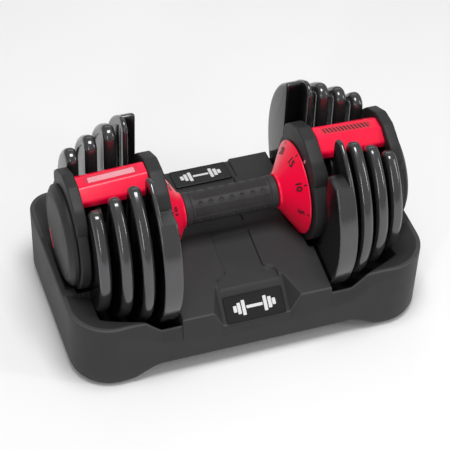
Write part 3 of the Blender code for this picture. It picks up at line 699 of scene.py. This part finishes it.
def grip():
    """Sleeve of radius R(x, a): rounded ends, shallow end collars, and rows of dimples, each a raised
    ring round a pit, r = k exp(-((d - d0) / w)^2) - p exp(-(d / w0)^2) at distance d from its middle."""
    along = np.linspace(-GRIP_HALF, GRIP_HALF, 420)
    around = np.linspace(0, math.tau, 216, endpoint=False)
    x, a = along[:, None], around[None]
    end = GRIP_HALF - np.abs(x)
    collar = 0.5 * (1 - smooth(end, 7.0, 8.0))
    groove = 0.6 * np.exp(-((end - 7.6) / 0.55) ** 2)
    radius = GRIP_R - 0.5 + collar - groove - rounding(end, 1.6)
    place = (np.arange(DIMPLES) - (DIMPLES - 1) / 2) * DIMPLE_PITCH
    dx = x - place[np.argmin(np.abs(x[..., None] - place), -1)]
    pitch = math.tau / DIMPLE_ROWS
    da = (a - math.radians(90 + ROW_TURN) + pitch / 2) % pitch - pitch / 2
    away = np.hypot(dx, da * GRIP_R)
    ring = 0.45 * np.exp(-((away - 2.3) / 0.6) ** 2)
    pit = 0.9 * np.exp(-(away / 1.5) ** 4)
    radius = radius + ring - pit + 0 * a
    knurl = smooth(np.abs(da * GRIP_R), 4.2, 4.8) * smooth(end, 10, 11)
    rings = np.stack([x + 0 * a, radius * -np.sin(a), radius * np.cos(a)], 2)
    bore = GRIP_R - 5.7
    inner = lathe([(GRIP_HALF, bore), (-GRIP_HALF, bore)], 216)
    inner[..., 1] *= -1
    shell = Shell().add(np.concatenate([rings, inner]), loop=True,
                        marks=np.concatenate([knurl + 0 * a, np.zeros((2, 216))]))
    shell.piece("grip", RUBBER, "handle", "grip_rubber", "grip_sleeve", mark="knurl", sharp=60)


DIAL_X0, DIAL_X1 = span("dial_right")
DIAL_SMALL, DIAL_BIG = 19.0, node_box("dial_right")[1][1]
RIM_FLAT = 1.4
BORE = 12.3
SETTINGS = range(5, 45, 5)
SETTING_TURN = 41.0              # angle between two settings, in degrees
FIRST_SETTING = 87.0             # where the lowest setting stands, from the top towards the front
NUMBER_SIZE, NUMBER_X, TICK_X = 11.0, 67.0, 72.4
PRINT_T = 0.06                   # half the thickness of the print


def cone_radius(x):
    """Outer radius of the dial at x, a straight cone."""
    return np.interp(x, (DIAL_X0, DIAL_X1 - RIM_FLAT), (DIAL_SMALL, DIAL_BIG))


def dials():
    """A cone shell turned about the handle: collar, cone, rounded rim, hollow back and hub."""
    outline = [(DIAL_X0, BORE), (DIAL_X0, DIAL_SMALL + 0.2), (DIAL_X0 + 2.2, DIAL_SMALL + 0.8),
               (DIAL_X1 - RIM_FLAT, DIAL_BIG), (DIAL_X1, DIAL_BIG), (DIAL_X1, DIAL_BIG - 3),
               (DIAL_X0 + 5, 21), (DIAL_X0 + 5, 17), (DIAL_X1, 17), (DIAL_X1, BORE)]
    profile = softened(outline, (0.2, 0.9, 0.8, 0.9, 0.6, 0.6, 0.5, 0.5, 0.3, 0.2), 6)
    for side, word in SIDES:
        Shell().add(lathe(profile, 128), side, loop=True).piece(
            f"cone_dial_{word}", RED, "handle", "red_plastic", f"dial_{word}", sharp=40)


def letters(text, size):
    """Points and faces of a short text, centred, thin and flat: u to its right and v up."""
    curve = bpy.data.curves.new("text", "FONT")
    curve.body = text
    curve.size = size
    curve.extrude = PRINT_T
    curve.offset = 0.28
    curve.align_x, curve.align_y = "CENTER", "CENTER"
    item = bpy.data.objects.new("text", curve)
    bpy.context.scene.collection.objects.link(item)
    bpy.context.view_layer.update()
    mesh = bpy.data.meshes.new_from_object(item.evaluated_get(bpy.context.evaluated_depsgraph_get()))
    points = np.empty(len(mesh.vertices) * 3)
    mesh.vertices.foreach_get("co", points)
    faces = [list(f.vertices) for f in mesh.polygons]
    bpy.data.objects.remove(item)
    bpy.data.curves.remove(curve)
    bpy.data.meshes.remove(mesh)
    return points.reshape(-1, 3), faces


def onto_cone(points, side, turn, x_middle):
    """Lays flat points on the cone: v along the slant towards the rim, u round it, w out of it."""
    slant = math.atan2(DIAL_BIG - DIAL_SMALL, DIAL_X1 - RIM_FLAT - DIAL_X0)
    x = x_middle + points[:, 1] * math.cos(slant)
    out = cone_radius(x) + 0.12
    angle = math.radians(turn) + side * points[:, 0] / np.maximum(out, 1)
    lift = points[:, 2]
    x = x - lift * math.sin(slant)
    out = out + lift * math.cos(slant)
    return np.stack([side * x, -out * np.sin(angle), out * np.cos(angle)], 1)


def dial_marks():
    """Numbers and a short tick at each setting, printed on the cones."""
    plan = [(-0.7, -2.2), (0.7, -2.2), (0.7, 2.2), (-0.7, 2.2)]
    tick = np.array([(u, v, w) for w in (-PRINT_T, PRINT_T) for u, v in plan])
    box = [[0, 3, 2, 1], [4, 5, 6, 7], [0, 1, 5, 4], [1, 2, 6, 5], [2, 3, 7, 6], [3, 0, 4, 7]]
    for side, word in SIDES:
        shell = Shell()
        for k, value in enumerate(SETTINGS):
            turn = FIRST_SETTING - SETTING_TURN * k
            points, faces = letters(str(value), NUMBER_SIZE)
            shell.add_faces(onto_cone(points, side, turn, NUMBER_X), faces, np.zeros(len(points)))
            shell.add_faces(onto_cone(tick, side, turn, TICK_X), box, np.zeros(8))
        shell.piece(f"dial_numbers_{word}", BLACK_INK, "handle", "red_plastic", sharp=30)


def selector_discs():
    """Discs with a ring flange whose length is profile(a): nothing inside its gap."""
    for side, word in SIDES:
        for number in range(1, PLATES + 1):
            node = f"selector_disc_{word}_{number}"
            x0, hub_end = span(f"selector_disc_right_{number}")
            x1, web, bore, hub, ring, big = x0 + 6.1, x0 + 2.2, 9.3, 14.0, 47.3, 50.0
            profile = [(x0, bore), (x0, 25), (x0, 38), (x0, big - 0.5), (x0 + 0.5, big), (x1 - 0.4, big),
                       (x1, big - 0.5), (x1, ring + 0.3), (x1 - 0.3, ring), (web, ring), (web, 38), (web, 25),
                       (web, hub), (hub_end, hub), (hub_end, bore)]
            rings = lathe(profile, 120)
            turn = np.degrees(np.arctan2(rings[..., 2], rings[..., 1]))
            middle = 60 * number
            off = np.abs((turn - middle + 180) % 360 - 180)
            outer = np.linalg.norm(rings[..., 1:], axis=2) > ring - 1
            gap = outer & (off < 19) & (rings[..., 0] > web)
            rings[..., 0] = np.where(gap, web, rings[..., 0])
            Shell().add(rings, side, loop=True).piece(
                f"{node}_body", SELECTOR_NYLON, "handle", "selector_nylon", node, sharp=35)


# ---------------------------------------------------------------- lifting frame

INNER_X0, INNER_X1 = span("inner_housing_right")
OUTER_X0, OUTER_X1 = span("outer_housing_right")
DRUM_R = 58.8
HOOD_HALF = ((-10, 74), (-34, 62), (-46, 49.5), (-46, 40), (-40, 20))
HOOD = HOOD_HALF + tuple((-y, z) for y, z in HOOD_HALF[::-1])


def housings():
    """Round drum about the shaft and a stepped hood that stands a little proud of it."""
    hood = softened(HOOD, (2.5, 4, 4, 1, 6, 6, 1, 4, 4, 2.5), 7)
    for side, word in SIDES:
        for name, x0, x1 in (("inner", INNER_X0, INNER_X1), ("outer", OUTER_X0, OUTER_X1)):
            bore = 14.2 if name == "inner" else 12.0
            soft = 1.6
            outer = softened([(x0 + 0.6, bore), (x0 + 0.6, DRUM_R), (x1 - 0.6, DRUM_R), (x1 - 0.6, bore)],
                             (0.2, soft, soft, 0.2), 6)
            shell = Shell().add(lathe(outer, 144), side, loop=True)
            quarter = np.radians(np.linspace(0, 90, 6))
            near = [(x0 + soft * (1 - math.sin(a)), soft * (1 - math.cos(a))) for a in quarter[::-1]]
            far = [(x1 - soft * (1 - math.sin(a)), soft * (1 - math.cos(a))) for a in quarter]
            shell.add(slab(hood, near + far), side)
            node = f"{name}_housing_{word}"
            shell.piece(f"{node}_body", HOUSING_PLASTIC, "dumbbell", "housing_plastic", node, sharp=35)


BRIDGE_X0, BRIDGE_X1 = span("bridge_right")
BRIDGE_IN, BRIDGE_OUT, BRIDGE_LOW = 72.5, 68.5, 52.0
BRIDGE_SECTION = ((-21, 52), (-21, 60.5), (-8.2, 72.5), (8.2, 72.5), (21, 60.5), (21, 52))
LABEL_X0, LABEL_X1 = 101.0, 156.0


LABEL_X = (LABEL_X0 + LABEL_X1) / 2 * MM
RED_FIELD, DARK_BARS = (0.8, 0.004, 0.036), (0.012, 0.001, 0.002)
HAZY_FIELD, PALE_BARS = (0.7, 0.012, 0.045), (0.8, 0.5, 0.55)
LABELS = {
    "right": label_finish("label_right", RED_FIELD, DARK_BARS, LABEL_X, 0.0262, 0.004, 0.3),
    "left": label_finish("label_left", HAZY_FIELD, PALE_BARS, -LABEL_X, 0.0245, 0.0024, 0.9),
}


def bridge_top(x):
    return BRIDGE_IN + (BRIDGE_OUT - BRIDGE_IN) * (x - INNER_X1) / (OUTER_X0 - INNER_X1)


def bridges():
    """Bar whose section keeps its foot and loses height towards its outer end."""
    section = softened(BRIDGE_SECTION, (1.5, 2.5, 1.8, 1.8, 2.5, 1.5), 7)
    ends = [(BRIDGE_X0, 0.6), (BRIDGE_X0 + 0.6, 0), (BRIDGE_X1 - 0.6, 0), (BRIDGE_X1, 0.6)]
    steps = ends[:2] + [(x, 0) for x in np.linspace(BRIDGE_X0 + 4, BRIDGE_X1 - 4, 18)] + ends[2:]
    seat_in, seat_out = LABEL_X0 - 1.6, LABEL_X1 + 1.6
    for side, word in SIDES:
        rings = slab(section, steps)
        x, z = rings[..., 0], rings[..., 2]
        share = (bridge_top(x) - BRIDGE_LOW) / (BRIDGE_IN - BRIDGE_LOW)
        rings[..., 2] = BRIDGE_LOW + (z - BRIDGE_LOW) * share
        node = f"bridge_{word}"
        Shell().add(rings, side).piece(f"{node}_body", RED, "dumbbell", "red_plastic", node, sharp=30)
        plan = softened([(seat_in, -6), (seat_out, -6), (seat_out, 6), (seat_in, 6)], 5, 9)
        low = grown(plan, -0.7)
        stack = []
        levels = ((plan, -1.0), (plan, 0.05), (grown(plan, -0.25), 0.28), (low, 0.28),
                  (grown(low, -0.2), 0.1))
        for points, lift in levels:
            stack.append(np.column_stack([points, bridge_top(points[:, 0]) + lift]))
        node = f"bridge_label_{word}"
        shell = Shell().add(np.array(stack), side)
        shell.piece(f"{node}_plate", LABELS[word], "dumbbell", "badge_black", node, sharp=30)


def pointers():
    """Small bright tick beside the dial's rim."""
    for side, word in SIDES:
        node = f"pointer_{word}"
        low, high = node_box("pointer_right")
        turn = math.radians(20)
        plan = softened([(-1.2, 52.5), (1.2, 52.5), (1.2, 58), (-1.2, 58)], 0.6, 5)
        spun = plan @ np.array([[math.cos(turn), math.sin(turn)], [-math.sin(turn), math.cos(turn)]])
        profile = [(low[0], 0.25), (low[0] + 0.2, 0), (high[0], 0)]
        Shell().add(slab(spun, profile), side).piece(node + "_mark", PINK_MARK, "dumbbell", "pink_mark", node)


CAP_X0, CAP_X1 = span("end_cap_right")
CAP_R = node_box("end_cap_right")[1][1]


def end_caps():
    """Cup with a broad chamfer, a fine groove and a slightly dished face, and its red arc."""
    outline = [(CAP_X1 - 3, 0.5), (CAP_X1 - 3, CAP_R - 3), (CAP_X0, CAP_R - 3), (CAP_X0, CAP_R),
               (CAP_X0 + 4.5, CAP_R), (CAP_X1 - 0.6, CAP_R - 6.5), (CAP_X1, CAP_R - 8.5),
               (CAP_X1 - 0.1, CAP_R - 9.6),
               (CAP_X1 - 0.7, CAP_R - 10), (CAP_X1 - 0.7, CAP_R - 10.6), (CAP_X1 - 0.1, CAP_R - 11),
               (CAP_X1 - 0.9, 12), (CAP_X1 - 1, 0.5)]
    profile = softened(outline, (0, 1, 0.8, 0.6, 1.5, 1.2, 0.5, 0.2, 0.1, 0.1, 0.2, 3, 0), 5)
    for side, word in SIDES:
        node = f"end_cap_{word}"
        shell = Shell().add(lathe(profile, 128), side, loop=True)
        shell.piece(f"{node}_body", HOUSING_PLASTIC, "dumbbell", "housing_plastic", node, sharp=35)
        sweep = np.concatenate([arc(CAP_R - 13.2, -62, -30, 30), arc(CAP_R - 15.6, -30, -62, 30)])
        accent = softened(sweep[[0, *range(3, 27), 29, 30, *range(33, 57), 59]], 0.3, 3)
        profile_arc = [(CAP_X1 - 1.6, 0), (CAP_X1 - 0.05, 0), (CAP_X1, 0.2)]
        Shell().add(slab(accent, profile_arc), side).piece(
            f"cap_accent_{word}_mark", RED, "dumbbell", "red_plastic", f"cap_accent_{word}")


# ---------------------------------------------------------------- small parts

def badges():
    """Blank plates with a raised frame and a plain dumbbell sign, lying on the ramps."""

    def rectangle(half_u, half_v, centre=(0, 0)):
        return np.array([(-half_u, -half_v), (half_u, -half_v), (half_u, half_v), (-half_u, half_v)]) + centre

    weights = ((12, 8), (17, 6), (21.5, 3.5))
    bars = [rectangle(9, 1.6)] + [rectangle(1.9, h, (s * u, 0)) for s in (-1, 1) for u, h in weights]
    for word, (sign, top, low, start) in RAMPS.items():
        down = np.array(low) - np.array(top)
        down /= np.linalg.norm(down)
        out = np.array([-down[1], down[0]])
        middle = np.array(top) + down * start

        def layers(outline, levels):
            rings = []
            for lift, inset in levels:
                u, v = grown(outline, -inset).T
                place = middle + v[:, None] * down + lift * out
                rings.append(np.stack([u, sign * place[:, 0], place[:, 1]], -1))
            return np.array(rings)

        field = softened(rectangle(32.8, 14.8), 2.5, 7)
        shell = Shell().add(layers(field, [(0.3, 0), (1.2, 0), (1.5, 0.4), (1.5, 1.2), (1.1, 1.5)]))
        shell.piece(f"badge_{word}_plate", BADGE_BLACK, "tray", "badge_black", f"badge_{word}", raised=False)
        sign_shell = Shell()
        for bar in bars:
            sign_shell.add(layers(softened(bar, 0.8, 5), [(0.9, 0), (1.25, 0), (1.35, 0.15)]))
        sign_shell.piece(f"badge_{word}_sign", WHITE_INK, "tray", "badge_black", raised=False)


def feet_and_pegs():
    """Foot pads, each a disc with a shallow dish underneath, and the round-topped pegs of the saddle."""
    for _, word in SIDES:
        for place in ("front", "rear"):
            node = f"foot_{place}_{word}"
            low, high = node_box(node)
            x, y = (low + high)[:2] / 2
            top, radius = high[2], (high[0] - low[0]) / 2
            outline = [(0, radius - 3), (0, radius), (top, radius), (top, 0.5), (0.7, 0.5),
                       (0.7, radius - 3.5)]
            profile = softened(outline, (0.4, 0.6, 0.3, 0.1, 0.1, 0.3), 5)
            rings = upright(lathe(profile, 48), x, y)
            shell = Shell().add(rings, loop=True)
            shell.piece(f"{node}_pad", FOOT_RUBBER, "tray", "foot_rubber", node, raised=False)
        node = f"peg_{word}"
        low, high = node_box(node)
        x = (low + high)[0] / 2
        profile = softened([(low[2], 2.1), (high[2], 2.1), (high[2], 0.2)], (0, 0.8, 0), 6, False)
        rings = upright(lathe(profile, 32), x, 0)
        shell = Shell().add(rings)
        shell.piece(f"{node}_post", TRAY_PLASTIC, "tray", "tray_plastic", node, mark="edge", raised=False)


def tie_bolts():
    """Shank and a low head with a round socket."""
    for side, word in SIDES:
        for place in ("front", "rear"):
            node = f"tie_bolt_{word}_{place}"
            x0, x1 = span(f"tie_bolt_right_{place}")
            low, high = node_box(f"tie_bolt_right_{place}")
            y, z = (low + high)[1:] / 2
            head = x1 - 2.3
            outline = [(x0, 2), (head, 2), (head, 4), (x1, 4), (x1, 2), (x1 - 1.4, 1.9), (x1 - 1.4, 0.2)]
            profile = softened(outline, (0, 0.2, 0.3, 0.7, 0.3, 0.2, 0), 5, False)
            rings = lathe(profile, 40, (y, z - AXIS))
            Shell().add(rings, side).piece(f"{node}_body", SHAFT_STEEL, "dumbbell", "shaft_steel", node)


def carried_over():
    """Inner metal parts whose CAD shape is kept get the finish of their kind."""
    finishes = {"shaft": SHAFT_STEEL, "pin": SHAFT_STEEL, "handle_shaft": SHAFT_STEEL, "bush": BRASS}
    for name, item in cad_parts.items():
        for word, finish in finishes.items():
            if word in name and not item.hide_render:
                item.data.materials.clear()
                item.data.materials.append(finish)


# ---------------------------------------------------------------- studio

CAMERA_AZIMUTH, CAMERA_ELEVATION, CAMERA_ROLL = -20.3, 44.1, 2.5
CAMERA_DISTANCE, CAMERA_LENS = 2.0025, 149.2
CAMERA_TARGET = Vector((-0.0025, 0.0, 0.0934))


def camera():
    """Long lens from the front left and above, turned a little about its own line of sight."""
    azimuth, elevation, roll = (math.radians(v) for v in (CAMERA_AZIMUTH, CAMERA_ELEVATION, CAMERA_ROLL))
    back = Vector((math.sin(azimuth) * math.cos(elevation), -math.cos(azimuth) * math.cos(elevation),
                   math.sin(elevation)))
    right = Vector((math.cos(azimuth), math.sin(azimuth), 0))
    up = right.cross(-back)
    across = right * math.cos(roll) + up * math.sin(roll)
    above = up * math.cos(roll) - right * math.sin(roll)
    data = bpy.data.cameras.new("camera")
    data.lens, data.sensor_width = CAMERA_LENS, 36.0
    item = bpy.data.objects.new("camera", data)
    turned = Matrix((across, above, back)).transposed().to_4x4()
    item.matrix_world = Matrix.Translation(CAMERA_TARGET + back * CAMERA_DISTANCE) @ turned
    bpy.context.scene.collection.objects.link(item)
    bpy.context.scene.camera = item


def softbox(name, place, size, power):
    """Rectangular light that looks at the middle of the object."""
    data = bpy.data.lights.new(name, "AREA")
    data.shape, data.size, data.size_y, data.energy = "RECTANGLE", size[0], size[1], power
    item = bpy.data.objects.new(name, data)
    aim = (CAMERA_TARGET - Vector(place)).to_track_quat("-Z", "Y").to_matrix().to_4x4()
    item.matrix_world = Matrix.Translation(place) @ aim
    bpy.context.scene.collection.objects.link(item)


def studio():
    """Pale floor, pale room and four softboxes."""
    reach = 6.0
    corners = [(x * reach, y * reach, 0) for x, y in ((-1, -1), (1, -1), (1, 1), (-1, 1))]
    mesh = bpy.data.meshes.new("floor")
    mesh.from_pydata(corners, [], [(0, 1, 2, 3)])
    mesh.materials.append(floor_finish())
    floor = bpy.data.objects.new("floor", mesh)
    bpy.context.scene.collection.objects.link(floor)
    world = bpy.data.worlds.new("room")
    world.use_nodes = True
    world.node_tree.nodes["Background"].inputs["Color"].default_value = (1.0, 1.0, 1.0, 1.0)
    world.node_tree.nodes["Background"].inputs["Strength"].default_value = 0.36
    bpy.context.scene.world = world
    bpy.context.scene.view_settings.view_transform = "Standard"
    # Each light: its middle in metres, its width and height, and its power in watts.
    softbox("overhead", (0.0, -0.25, 1.8), (0.7, 0.7), 21)
    softbox("left_front", (-1.0, -1.4, 0.8), (0.12, 1.0), 4.5)
    softbox("right_front", (1.3, -0.9, 0.9), (0.14, 0.9), 5)
    softbox("back", (0.3, 1.5, 1.3), (1.4, 0.35), 2.5)


tray()
plates()
grip()
dials()
dial_marks()
selector_discs()
housings()
bridges()
pointers()
end_caps()
badges()
feet_and_pegs()
tie_bolts()
carried_over()
camera()
studio()
